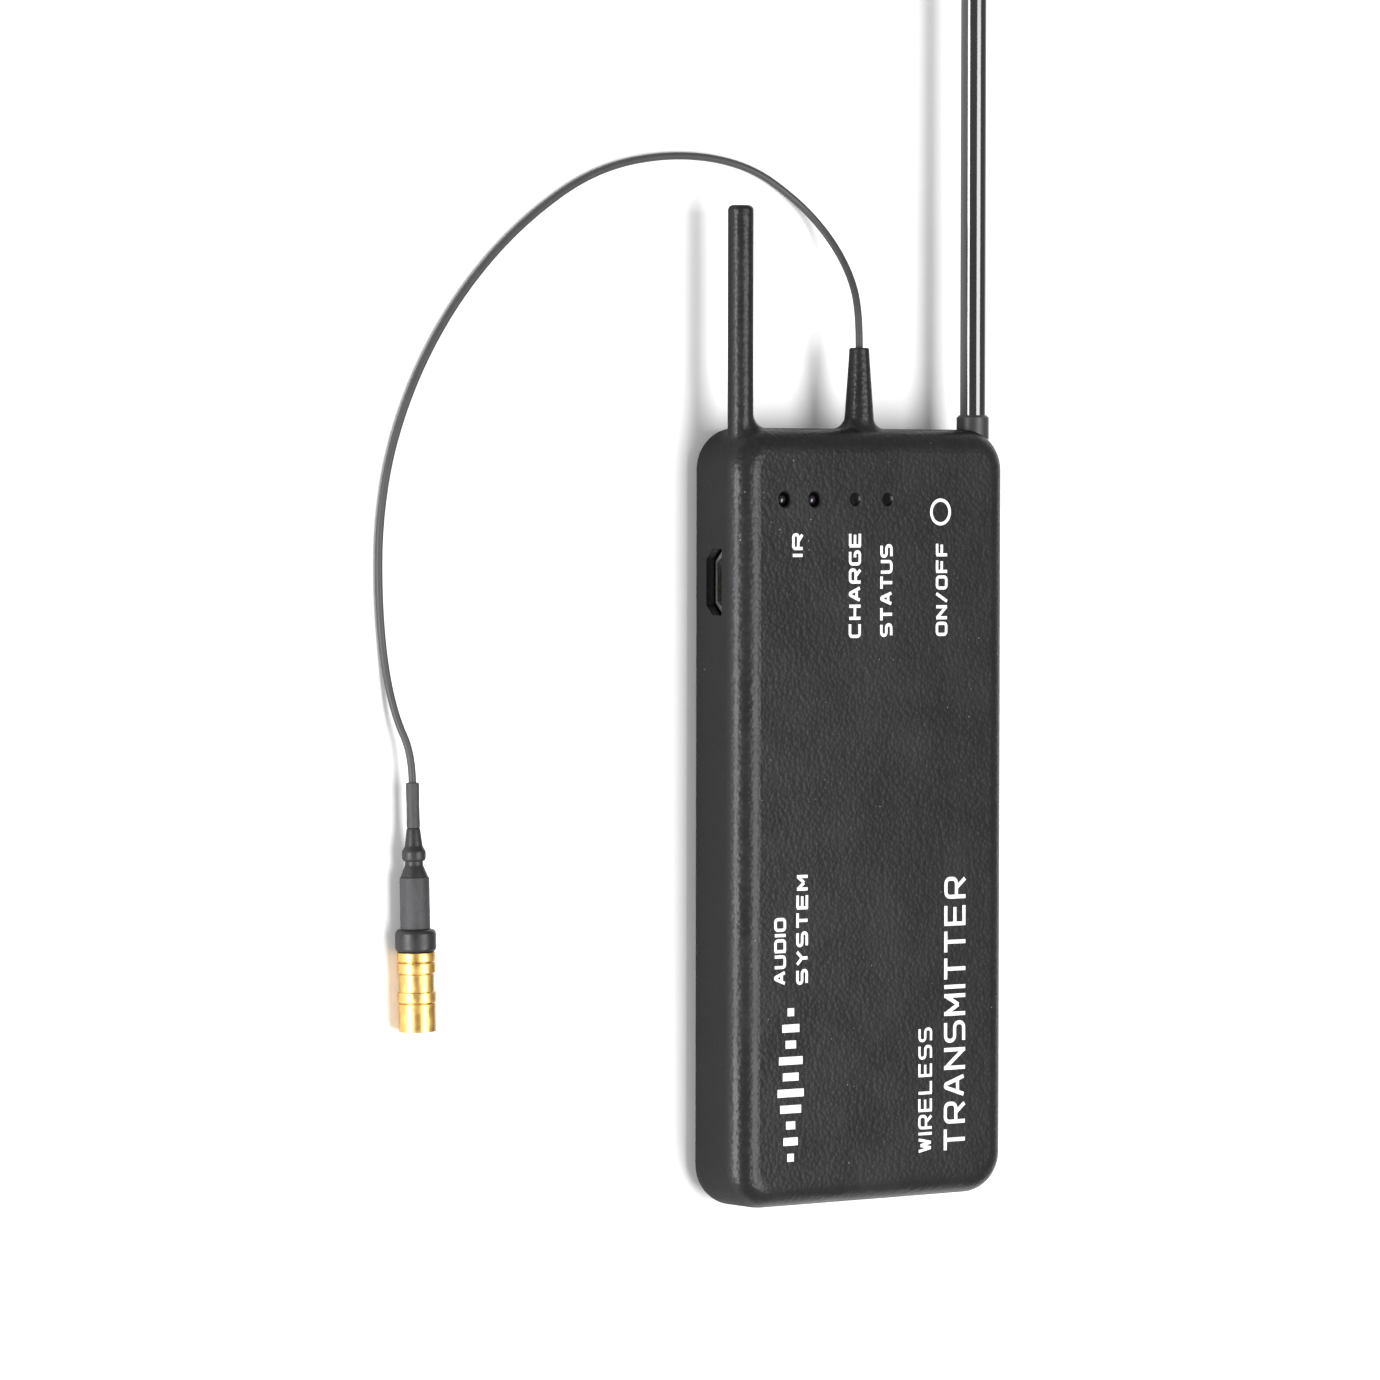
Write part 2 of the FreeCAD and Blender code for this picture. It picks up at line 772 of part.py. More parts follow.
def plug_body():
    """The gilt barrel: bands and rings with thin grooves, a waist and a plain end."""
    steps = [(gilt_band_length, gilt_band_diameter), (gilt_groove, gilt_groove_diameter),
             (gilt_ring_length, gilt_ring_diameter), (gilt_groove, gilt_groove_diameter),
             (gilt_waist_length, gilt_waist_diameter), (gilt_ring_length, gilt_ring_diameter),
             (gilt_groove, gilt_groove_diameter), (gilt_end_length - gilt_chamfer, gilt_end_diameter)]
    here = gilt_start
    profile = [(here, gilt_bore / 2)]
    for length, diameter in steps:
        profile += [(here, diameter / 2), (here + length, diameter / 2)]
        here += length
    end = gilt_start + gilt_length
    profile += [(end, gilt_end_diameter / 2 - gilt_chamfer), (end, gilt_mouth / 2),
                (end - gilt_mouth_depth, gilt_mouth / 2), (end - gilt_mouth_depth, gilt_bore / 2)]
    return plug_piece(profile)


def plug_insulator():
    end = gilt_start + gilt_length - gilt_mouth_depth
    return plug_piece(ring_profile(gilt_start, end, gilt_bore / 2, gilt_contact_diameter / 2))


def plug_contact():
    outer = gilt_contact_diameter / 2
    bore = gilt_contact_bore / 2
    end = gilt_start + gilt_length - gilt_contact_setback
    depth = gilt_mouth_depth - 2 * gilt_contact_setback
    return plug_piece([(gilt_start, 0), (gilt_start, outer), (end, outer), (end, bore), (end - depth, bore),
                       (end - depth, 0)])


def cable_end():
    """The cable's straight stretch inside the connector."""
    return plug_piece(ring_profile(0, gilt_start, cable_diameter / 2, 0))


def mic_cable():
    """The free cable: out of the boot, down to the surface, round a wide bow and up to the connector."""
    low = cable_diameter / 2
    before = plug_start - plug_direction * 3.4
    route = [
        (0.0, boot_tip, axis_height), (0.0, 61.0, axis_height), (0.4, 65.5, 5.1), (-0.8, 70.3, 2.5),
        (-4.7, 74.8, 0.9), (-12.1, 79.0, low), (-23.0, 80.1, low), (-35.0, 77.9, low), (-45.7, 71.4, low),
        (-54.2, 63.4, low), (-60.5, 54.5, low), (-64.7, 45.0, low), (-66.5, 36.0, low), (-66.6, 27.0, low),
        (-65.8, 19.0, low), (-64.9, 12.9, 1.5), (before.x, before.y, plug_height),
        (plug_start.x, plug_start.y, plug_height),
    ]
    solid, length = tube(route, cable_diameter)
    print("free cable length %.2f volume / (section x length) %.4f" %
          (length, solid.Volume / (math.pi * (cable_diameter / 2) ** 2 * length)))
    return solid


pieces = {
    "front_cover": front_cover(),
    "rear_cover": rear_cover(),
    "case_screws": case_screws(),
    "main_board": main_board(),
    "board_screws": board_screws(),
    "power_button": power_button(),
    "switch_body": switch_body(),
    "switch_plunger": switch_plunger(),
    "switch_dome": switch_dome(),
    "infrared_emitter": lens(emitter_inset),
    "infrared_receiver": lens(receiver_inset),
    "charge_light_pipe": light_pipe(charge_inset),
    "status_light_pipe": light_pipe(status_inset),
    "charge_led": led(charge_inset),
    "status_led": led(status_inset),
    "usb_shell": usb_shell(),
    "usb_tongue": usb_tongue(),
    "usb_contacts": usb_contacts(),
    "battery_cell": battery_cell(),
    "battery_foam": battery_foam(),
    "battery_board": battery_board(),
    "battery_lead_positive": battery_lead(1),
    "battery_lead_negative": battery_lead(-1),
    "battery_plug": battery_plug(),
    "battery_socket": battery_socket(),
    "radio_can": radio_can(),
    "stub_rod": stub_rod(),
    "stub_clip": stub_clip(),
    "antenna_socket": antenna_socket(),
    "antenna_socket_insulator": antenna_socket_insulator(),
    "antenna_socket_contact": antenna_socket_contact(),
    "antenna_plug": antenna_plug(),
    "antenna_plug_insulator": antenna_plug_insulator(),
    "antenna_pin": antenna_pin(),
    "antenna_collar": antenna_collar(),
    "antenna_jacket": antenna_jacket(),
    "antenna_wire": antenna_wire(),
    "cable_tail": cable_tail(),
    "cable_crimp": cable_crimp(),
    "cable_cores": cable_cores(),
    "mic_cable": mic_cable(),
    "cable_end": cable_end(),
    "shrink_sleeve": shrink_sleeve(),
    "plug_boot": plug_boot(),
    "plug_sleeve": plug_sleeve(),
    "plug_collar": plug_collar(),
    "plug_body": plug_body(),
    "plug_insulator": plug_insulator(),
    "plug_contact": plug_contact(),
}
for chip, (chip_place, chip_size) in chips.items():
    pieces[chip] = block(chip_place, chip_size, board_high)

os.makedirs("parts", exist_ok=True)
for name, shape in pieces.items():
    print("%-26s solids %d valid %s volume %.3f" % (name, len(shape.Solids), shape.isValid(), shape.Volume))
    shape.exportStep("parts/%s.step" % name)
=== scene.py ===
# %% [markdown]
# # A wireless bodypack transmitter
# The frame is the engineered model: every body, node and size comes from it, in metres.
# The case lies on its back at the origin, +X is its right, +Y points to the antennas and +Z out of its front.

# %% Load the frame
import bpy
import bmesh
import math
from mathutils import Matrix, Vector


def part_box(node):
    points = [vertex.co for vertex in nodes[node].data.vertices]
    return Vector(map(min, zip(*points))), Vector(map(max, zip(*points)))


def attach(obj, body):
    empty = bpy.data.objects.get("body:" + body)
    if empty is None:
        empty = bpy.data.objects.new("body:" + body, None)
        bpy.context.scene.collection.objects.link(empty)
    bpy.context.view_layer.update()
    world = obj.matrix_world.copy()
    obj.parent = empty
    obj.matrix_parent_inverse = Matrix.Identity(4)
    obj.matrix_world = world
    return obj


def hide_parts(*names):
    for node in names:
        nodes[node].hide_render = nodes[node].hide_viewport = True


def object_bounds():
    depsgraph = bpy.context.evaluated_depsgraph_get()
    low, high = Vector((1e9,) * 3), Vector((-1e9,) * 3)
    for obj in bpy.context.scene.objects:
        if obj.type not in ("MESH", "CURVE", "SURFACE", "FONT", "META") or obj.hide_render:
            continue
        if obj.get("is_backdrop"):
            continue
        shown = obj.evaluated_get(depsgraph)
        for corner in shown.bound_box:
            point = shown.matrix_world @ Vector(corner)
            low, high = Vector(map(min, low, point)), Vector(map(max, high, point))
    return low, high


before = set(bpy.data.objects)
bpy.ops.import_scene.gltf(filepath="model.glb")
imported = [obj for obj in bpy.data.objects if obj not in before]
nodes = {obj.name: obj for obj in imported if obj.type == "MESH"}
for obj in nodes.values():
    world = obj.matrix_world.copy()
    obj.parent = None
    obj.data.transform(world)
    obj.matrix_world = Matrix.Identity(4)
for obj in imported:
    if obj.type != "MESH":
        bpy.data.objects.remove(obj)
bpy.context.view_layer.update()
MM = 0.001
slot_of = {name: node.data.materials[0].name for name, node in nodes.items()}


def add_object(name, data):
    """A new object in the scene, at the origin."""
    thing = bpy.data.objects.new(name, data)
    bpy.context.scene.collection.objects.link(thing)
    return thing


# %% [markdown]
# ## Camera
# A long lens well to the left of the case keeps its edges almost parallel. The camera looks across the
# front at an angle, and its own up is the length of the case. It comes first, because everything else
# is judged through it.

# %% Camera
VIEW_YAW = math.radians(37.5)
VIEW_PITCH = math.radians(1.652)
VIEW_ROLL = math.radians(0.0986)
VIEW_DISTANCE = 0.81764
FRONT_FACE = 10.8 * MM
VIEW_AIM = Vector((-24.56 * MM, 15.55 * MM, FRONT_FACE / 2))
LENS = 177.94


def camera_turn(yaw, pitch, roll):
    """The camera's turn: to the left of the front by yaw, up by pitch, and rolled about its own axis."""
    return Matrix.Rotation(-yaw, 3, "Y") @ Matrix.Rotation(-pitch, 3, "X") @ Matrix.Rotation(roll, 3, "Z")


camera = add_object("camera", bpy.data.cameras.new("camera"))
turn = camera_turn(VIEW_YAW, VIEW_PITCH, VIEW_ROLL)
camera.data.lens = LENS
camera.matrix_world = Matrix.Translation(VIEW_AIM + turn @ Vector((0, 0, VIEW_DISTANCE))) @ turn.to_4x4()
bpy.context.scene.camera = camera
print("camera at", [round(v, 4) for v in camera.matrix_world.translation])

# %% [markdown]
# ## The free cable
# The microphone cable is 0.9 mm thick and about 138 mm long from the boot's tip to the connector.
# It leaves the boot straight, droops to the surface, lies in one wide bow and rises into the connector's
# sleeve. It could be a mesh swept along arcs, but a smooth spline of its route is the honest way to draw
# a limp cord: the points are the cable's own, in millimetres, and no bend has a kink in it.

# %% Cable
CABLE_DIAMETER = 0.9 * MM
AXIS_HEIGHT = 7.1
CABLE_LOW = CABLE_DIAMETER / 2 / MM
PLUG_HEIGHT = 2.4
BOOT_TIP = 56.85
CABLE_ROUTE = [
    (0.0, BOOT_TIP, AXIS_HEIGHT), (0.0, 61.0, AXIS_HEIGHT), (0.4, 65.5, 5.1), (-0.8, 70.3, 2.5),
    (-4.7, 74.8, 0.9), (-12.1, 79.0, CABLE_LOW), (-23.0, 80.1, CABLE_LOW), (-35.0, 77.9, CABLE_LOW),
    (-45.7, 71.4, CABLE_LOW), (-54.2, 63.4, CABLE_LOW), (-60.5, 54.5, CABLE_LOW), (-64.7, 45.0, CABLE_LOW),
    (-66.5, 36.0, CABLE_LOW), (-66.6, 27.0, CABLE_LOW), (-65.8, 19.0, CABLE_LOW), (-64.9, 12.9, 1.5),
    (-63.202, 8.656, PLUG_HEIGHT), (-63.113, 5.257, PLUG_HEIGHT),
]


def cable_curve(name, route, diameter):
    """A smooth round cord drawn by its control points.

    Its thickness is in the points' radius and not in the bevel, because the curve's box grows by that radius.
    """
    curve = bpy.data.curves.new(name, "CURVE")
    curve.dimensions = "3D"
    curve.bevel_depth = 1
    curve.bevel_resolution = 8
    curve.resolution_u = 24
    curve.use_fill_caps = True
    spline = curve.splines.new("NURBS")
    spline.points.add(len(route) - 1)
    for point, place in zip(spline.points, route):
        point.co = (*[v * MM for v in place], 1)
        point.radius = diameter / 2
    spline.order_u = 3
    spline.use_endpoint_u = True
    return add_object(name, curve)


mic_cable = cable_curve("free_cable", CABLE_ROUTE, CABLE_DIAMETER)
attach(mic_cable, "case")
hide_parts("mic_cable")
print("cable made of", len(CABLE_ROUTE), "control points")

# %% [markdown]
# ## Effects that the finishes share
# A moulded or plated surface is never even. Five small effects cover what is seen here: a fine grain that
# tilts the surface, soft patches that change tone and gloss, specks of dust, wear along edges, and a mask of
# the faces turned to the front, with which a finish paints shade on the sides. Each could be drawn again in
# every finish. Built once as a node group with named inputs, each finish only says how coarse, how deep or
# how much.

# %% Tools for shader trees


def add_node(tree, kind, inputs=None, **settings):
    """A node of that kind: settings go on the node, and inputs are values or other nodes' outputs."""
    node = tree.nodes.new(kind)
    for label, value in settings.items():
        setattr(node, label, value)
    for label, value in (inputs or {}).items():
        socket = node.inputs[label]
        if isinstance(value, bpy.types.NodeSocket):
            tree.links.new(value, socket)
        else:
            socket.default_value = value
    return node


def effect(name, inputs, outputs):
    """An empty effect with named inputs (label, kind, value) and outputs (label, kind)."""
    group = bpy.data.node_groups.new(name, "ShaderNodeTree")
    for label, kind, value in inputs:
        group.interface.new_socket(label, in_out="INPUT", socket_type=kind).default_value = value
    for label, kind in outputs:
        group.interface.new_socket(label, in_out="OUTPUT", socket_type=kind)
    return group, group.nodes.new("NodeGroupInput").outputs, group.nodes.new("NodeGroupOutput")


def math_node(tree, operation, first, second=0.0):
    node = add_node(tree, "ShaderNodeMath", {0: first, 1: second}, operation=operation)
    return node.outputs[0]


def scaled_place(tree, size, stretch=None):
    """The place on the object, counted in pattern sizes and pulled out along the stretch."""
    place = add_node(tree, "ShaderNodeTexCoord").outputs["Object"]
    if stretch:
        place = add_node(tree, "ShaderNodeVectorMath", {0: place, 1: stretch}, operation="DIVIDE").outputs[0]
    per_size = math_node(tree, "DIVIDE", 1.0, size)
    return add_node(tree, "ShaderNodeVectorMath", {0: place, "Scale": per_size}, operation="SCALE").outputs[0]


print("shader tools ready")

# %% Grain


def grain_effect():
    """Rounded pebbles with a softer swell between them, as a tooled mould leaves in rubber."""
    inputs = [("Size", "NodeSocketFloat", 0.0003), ("Depth", "NodeSocketFloat", 0.00001),
              ("Stretch", "NodeSocketVector", (1, 1, 1))]
    outputs = [("Normal", "NodeSocketVector"), ("Height", "NodeSocketFloat")]
    tree, given, result = effect("fine_grain", inputs, outputs)
    place = scaled_place(tree, given["Size"], given["Stretch"])
    pebbles = add_node(tree, "ShaderNodeTexVoronoi", {"Vector": place, "Scale": 1.0})
    swell = add_node(tree, "ShaderNodeTexNoise", {"Vector": place, "Scale": 0.6, "Detail": 2.0})
    height = math_node(tree, "SUBTRACT", swell.outputs["Fac"], pebbles.outputs["Distance"])
    bump = add_node(tree, "ShaderNodeBump", {"Height": height, "Distance": given["Depth"]})
    tree.links.new(bump.outputs["Normal"], result.inputs["Normal"])
    tree.links.new(height, result.inputs["Height"])
    return tree


def patches_effect():
    """Soft cloudy patches from 0 to 1."""
    inputs = [("Size", "NodeSocketFloat", 0.004), ("Stretch", "NodeSocketVector", (1, 1, 1))]
    tree, given, result = effect("soft_patches", inputs, [("Patches", "NodeSocketFloat")])
    place = scaled_place(tree, given["Size"], given["Stretch"])
    clouds = add_node(tree, "ShaderNodeTexNoise", {"Vector": place, "Scale": 1.0, "Detail": 4.0})
    spread = add_node(tree, "ShaderNodeMapRange",
                      {"Value": clouds.outputs["Fac"], "From Min": 0.3, "From Max": 0.7})
    tree.links.new(spread.outputs["Result"], result.inputs["Patches"])
    return tree


def dust_effect():
    """Scattered specks of different sizes: most of the cells of the pattern stay clean."""
    inputs = [("Speck Size", "NodeSocketFloat", 0.00008), ("Spacing", "NodeSocketFloat", 0.0012),
              ("Share", "NodeSocketFloat", 0.3)]
    tree, given, result = effect("dust_specks", inputs, [("Specks", "NodeSocketFloat")])
    place = scaled_place(tree, given["Spacing"])
    cells = add_node(tree, "ShaderNodeTexVoronoi", {"Vector": place, "Scale": 1.0})
    chance = add_node(tree, "ShaderNodeSeparateColor", {"Color": cells.outputs["Color"]})
    present = math_node(tree, "LESS_THAN", chance.outputs["Red"], given["Share"])
    reach = math_node(tree, "MULTIPLY", math_node(tree, "DIVIDE", given["Speck Size"], given["Spacing"]),
                      chance.outputs["Green"])
    near = math_node(tree, "LESS_THAN", cells.outputs["Distance"], reach)
    tree.links.new(math_node(tree, "MULTIPLY", near, present), result.inputs["Specks"])
    return tree


def wear_effect():
    """Wear along sharp edges: where a rounded normal leaves the true one, in broken stretches."""
    inputs = [("Reach", "NodeSocketFloat", 0.0001), ("Amount", "NodeSocketFloat", 3.0)]
    tree, given, result = effect("edge_wear", inputs, [("Wear", "NodeSocketFloat")])
    rounded = add_node(tree, "ShaderNodeBevel", {"Radius": given["Reach"]}, samples=4)
    true = add_node(tree, "ShaderNodeNewGeometry").outputs["Normal"]
    alike = add_node(tree, "ShaderNodeVectorMath", {0: rounded.outputs[0], 1: true}, operation="DOT_PRODUCT")
    leaving = math_node(tree, "SUBTRACT", 1.0, alike.outputs["Value"])
    place = scaled_place(tree, given["Reach"])
    broken = add_node(tree, "ShaderNodeTexNoise", {"Vector": place, "Scale": 0.2})
    wear_and_side_shade = math_node(tree, "MULTIPLY", math_node(tree, "MULTIPLY", leaving, given["Amount"]),
                       broken.outputs["Fac"])
    clipped = add_node(tree, "ShaderNodeClamp", {"Value": wear_and_side_shade})
    tree.links.new(clipped.outputs[0], result.inputs["Wear"])
    return tree


def side_shade_effect():
    """A mask of faces turned to the front, for painted shade on the sides: 0 on a side, 1 on the front."""
    inputs = [("Side", "NodeSocketFloat", 0.1), ("Front", "NodeSocketFloat", 0.5)]
    tree, given, result = effect("side_shade_mask", inputs, [("Front Facing", "NodeSocketFloat")])
    facing = add_node(tree, "ShaderNodeSeparateXYZ",
                      {0: add_node(tree, "ShaderNodeTexCoord").outputs["Normal"]}).outputs["Z"]
    wear_and_side_shade = add_node(tree, "ShaderNodeMapRange",
                      {"Value": facing, "From Min": given["Side"], "From Max": given["Front"]})
    tree.links.new(wear_and_side_shade.outputs["Result"], result.inputs["Front Facing"])
    return tree


GRAIN = grain_effect()
PATCHES = patches_effect()
DUST = dust_effect()
WEAR = wear_effect()
SIDE_SHADE = side_shade_effect()
print("effects:", ", ".join(g.name for g in (GRAIN, PATCHES, DUST, WEAR, SIDE_SHADE)))

# %% [markdown]
# ## Finishes
# One function lays every finish: a colour with darker and lighter patches, an uneven gloss, a grain, and
# where it is asked for, worn edges, dust and painted shade on the sides. It could be one tree per material,
# but the rubber, the gilt and the tin differ in numbers and not in kind. A surface's even values stay on the
# shader itself.

# %% The finish maker
DUST_COLOUR = (0.22, 0.22, 0.21)
ALONG = (1, 14, 1)


def apply_effect(tree, group, **values):
    """One of the shared effects in a material, with its own values by input name."""
    node = tree.nodes.new("ShaderNodeGroup")
    node.node_tree = group
    for label, value in values.items():
        node.inputs[label.replace("_", " ")].default_value = value
    return node.outputs


def blend_colour(tree, factor, below, above):
    """Below shows where the factor is 0, above where it is 1."""
    node = tree.nodes.new("ShaderNodeMix")
    node.data_type = "RGBA"
    tree.links.new(factor, node.inputs[0])
    for socket, value in ((node.inputs[6], below), (node.inputs[7], above)):
        if isinstance(value, bpy.types.NodeSocket):
            tree.links.new(value, socket)
        else:
            socket.default_value = (*value, 1)
    return node.outputs[2]


def map_to(tree, value, low, high):
    node = add_node(tree, "ShaderNodeMapRange", {"Value": value, "To Min": low, "To Max": high})
    return node.outputs["Result"]


def finish(name, colour, roughness, metallic=0.0, specular=0.5, grain=0.3, depth=4.0, stretch=(1, 1, 1),
           patches=4.0, tone=0.15, gloss=0.06, worn=None, wear=0.0, reach=0.1, dust=0.0, side_shade_and_roughness=None):
    """A finished surface. Grain, patches and reach are in mm, depth in thousandths of a mm.

    worn is the colour of worn edges. The pair for the sides is (painted shade, extra roughness): a colour
    factor and a roughness added on faces turned away from the front.
    """
    material = bpy.data.materials.new(name)
    material.use_nodes = True
    tree = material.node_tree
    shader = tree.nodes["Principled BSDF"]
    shader.inputs["Metallic"].default_value = metallic
    shader.inputs["Specular IOR Level"].default_value = specular
    cloud = apply_effect(tree, PATCHES, Size=patches * MM, Stretch=stretch)["Patches"]
    darker = tuple(c * (1 - tone) for c in colour)
    lighter = tuple(min(1, c * (1 + tone)) for c in colour)
    grained = apply_effect(tree, GRAIN, Size=grain * MM, Depth=depth * MM * MM, Stretch=stretch)
    shade = blend_colour(tree, math_node(tree, "ADD", cloud, grained["Height"]), darker, lighter)
    rough = map_to(tree, cloud, roughness - gloss, roughness + gloss)
    # Painted shade: faces turned away from the front are darkened by the first value and roughened by the
    # second.
    if side_shade_and_roughness:
        wear_and_side_shade = apply_effect(tree, SIDE_SHADE, Side=0.05, Front=0.45)["Front Facing"]
        side_shade_colour = tuple(c * side_shade_and_roughness[0] for c in colour)
        shade = blend_colour(tree, wear_and_side_shade, side_shade_colour, shade)
        rough = math_node(tree, "ADD", rough, map_to(tree, wear_and_side_shade, side_shade_and_roughness[1], 0.0))
    if wear:
        worn_away = apply_effect(tree, WEAR, Reach=reach * MM, Amount=wear)["Wear"]
        shade = blend_colour(tree, worn_away, shade, worn)
    if dust:
        specks = apply_effect(tree, DUST, Share=dust)["Specks"]
        shade = blend_colour(tree, specks, shade, DUST_COLOUR)
        rough = math_node(tree, "MAXIMUM", rough, math_node(tree, "MULTIPLY", specks, 0.9))
    tree.links.new(shade, shader.inputs["Base Color"])
    tree.links.new(rough, shader.inputs["Roughness"])
    tree.links.new(grained["Normal"], shader.inputs["Normal"])
    return material


print("finish maker ready")

# %% [markdown]
# ### What each slot is made of
# The case is soft-touch rubber: nearly black, low in gloss, with a leather-like grain that breaks up its
# highlights. The whip has a smooth glossy jacket over a duller collar. The connector has a black moulded
# strain relief and a gilt barrel, and inside the case are tinned, soldered, moulded and foiled parts, each
# with its own grain.

# %% Finishes by slot
finishes = {
    # The case's sides carry painted shade: their colour is 0.45 of the front's, and they are 0.35 rougher.
    "case_rubber": finish("case_rubber_finish", (0.0095, 0.0095, 0.0098), 0.35, specular=0.22, grain=0.55,
                          depth=34, patches=7, tone=0.2, gloss=0.04, dust=0.45, side_shade_and_roughness=(0.45, 0.35)),
    "whip_gloss": finish("whip_gloss_finish", (0.006, 0.006, 0.0065), 0.1, specular=0.9, grain=0.8, depth=3,
                         stretch=ALONG, patches=3, tone=0.2, gloss=0.03, worn=(0.08, 0.08, 0.08), wear=2,
                         dust=0.05),
    "cable_grey": finish("cable_grey_finish", (0.042, 0.042, 0.044), 0.5, specular=0.3, grain=0.12, depth=3,
                         patches=2, tone=0.1, gloss=0.08, dust=0.1),
    "shrink_grey": finish("shrink_grey_finish", (0.036, 0.036, 0.038), 0.62, specular=0.3, grain=0.25,
                          depth=9, stretch=(1, 3, 1), patches=1.2, tone=0.15, gloss=0.08,
                          worn=(0.15, 0.15, 0.15), wear=1.5),
    "boot_black": finish("boot_black_finish", (0.012, 0.012, 0.0125), 0.42, specular=0.35, grain=0.16,
                         depth=9, patches=1.5, tone=0.2, gloss=0.07, worn=(0.07, 0.07, 0.07), wear=2.5,
                         reach=0.08, dust=0.12),
    "gilt": finish("gilt_finish", (0.68, 0.42, 0.13), 0.36, metallic=1.0, grain=0.1, depth=2.5, patches=1.0,
                   tone=0.12, gloss=0.07, worn=(0.9, 0.78, 0.55), wear=2.5, reach=0.06),
    "tin": finish("tin_finish", (0.6, 0.6, 0.59), 0.33, metallic=1.0, grain=0.15, depth=3,
                  stretch=(1, 6, 1), patches=1.5, tone=0.12, gloss=0.08, worn=(0.85, 0.85, 0.84), wear=2.5,
                  reach=0.08),
    "screw_steel": finish("screw_steel_finish", (0.11, 0.11, 0.115), 0.38, metallic=1.0, grain=0.12,
                          depth=3, patches=1, tone=0.2, gloss=0.08, worn=(0.5, 0.5, 0.5), wear=3,
                          reach=0.08),
    "copper": finish("copper_finish", (0.75, 0.36, 0.2), 0.3, metallic=1.0, grain=0.1, depth=3, patches=0.8,
                     tone=0.2, gloss=0.08),
    "cell_foil": finish("cell_foil_finish", (0.68, 0.69, 0.7), 0.36, metallic=1.0, grain=2.5, depth=60,
                        patches=6, tone=0.08, gloss=0.08),
    "board_green": finish("board_green_finish", (0.02, 0.1, 0.05), 0.4, grain=0.5, depth=12, patches=3,
                          tone=0.25, gloss=0.08, worn=(0.3, 0.28, 0.15), wear=1.5),
    "chip_black": finish("chip_black_finish", (0.02, 0.02, 0.02), 0.55, grain=0.1, depth=5, patches=1.5,
                         tone=0.2, gloss=0.06, worn=(0.08, 0.08, 0.08), wear=2),
    "connector_plastic": finish("connector_plastic_finish", (0.025, 0.025, 0.027), 0.5, grain=0.12, depth=5,
                                patches=1.5, tone=0.2, gloss=0.06, worn=(0.1, 0.1, 0.1), wear=2),
    "cream_plastic": finish("cream_plastic_finish", (0.68, 0.65, 0.55), 0.45, grain=0.2, depth=5, patches=2,
                            tone=0.06, gloss=0.06),
    "white_insulator": finish("white_insulator_finish", (0.72, 0.72, 0.7), 0.4, grain=0.15, depth=3,
                              patches=1, tone=0.05, gloss=0.06),
    "led_body": finish("led_body_finish", (0.7, 0.7, 0.66), 0.35, grain=0.15, depth=2, patches=0.8,
                       tone=0.06, gloss=0.05),
    "dark_lens": finish("dark_lens_finish", (0.006, 0.004, 0.007), 0.09, grain=0.6, depth=2, patches=0.8,
                        tone=0.3, gloss=0.03, dust=0.1),
    "light_pipe": finish("light_pipe_finish", (0.003, 0.003, 0.003), 0.2, specular=0.12, grain=0.5, depth=2,
                         patches=0.6, tone=0.3, gloss=0.05),
    "foam": finish("foam_finish", (0.03, 0.03, 0.03), 0.85, grain=0.35, depth=90, patches=2, tone=0.25,
                   gloss=0.05),
    "lead_red": finish("lead_red_finish", (0.35, 0.02, 0.02), 0.42, grain=0.2, depth=3, patches=1.5,
                       tone=0.1, gloss=0.06),
    "lead_black": finish("lead_black_finish", (0.015, 0.015, 0.015), 0.42, grain=0.2, depth=3, patches=1.5,
                         tone=0.2, gloss=0.06),
}
for name, node in nodes.items():
    node.data.materials[0] = finishes[slot_of[name]]
mic_cable.data.materials.append(finishes["cable_grey"])
nodes["antenna_collar"].data.materials[0] = finish("satin_collar", (0.022, 0.022, 0.023), 0.45, specular=0.4,
                                                   grain=0.2, depth=5, patches=1.5, tone=0.15, gloss=0.06,
                                                   worn=(0.12, 0.12, 0.12), wear=3)
print("finishes:", len(finishes))

# %% [markdown]
# ## Printed legends
# The front carries small white legends in a wide, square letter with rounded corners. A font could be
# loaded, but the script takes nothing from outside, so each letter is a few strokes in a unit box and a
# Geometry Nodes tree gives every stroke its width: corners rounded, swept round, pressed flat into ink.

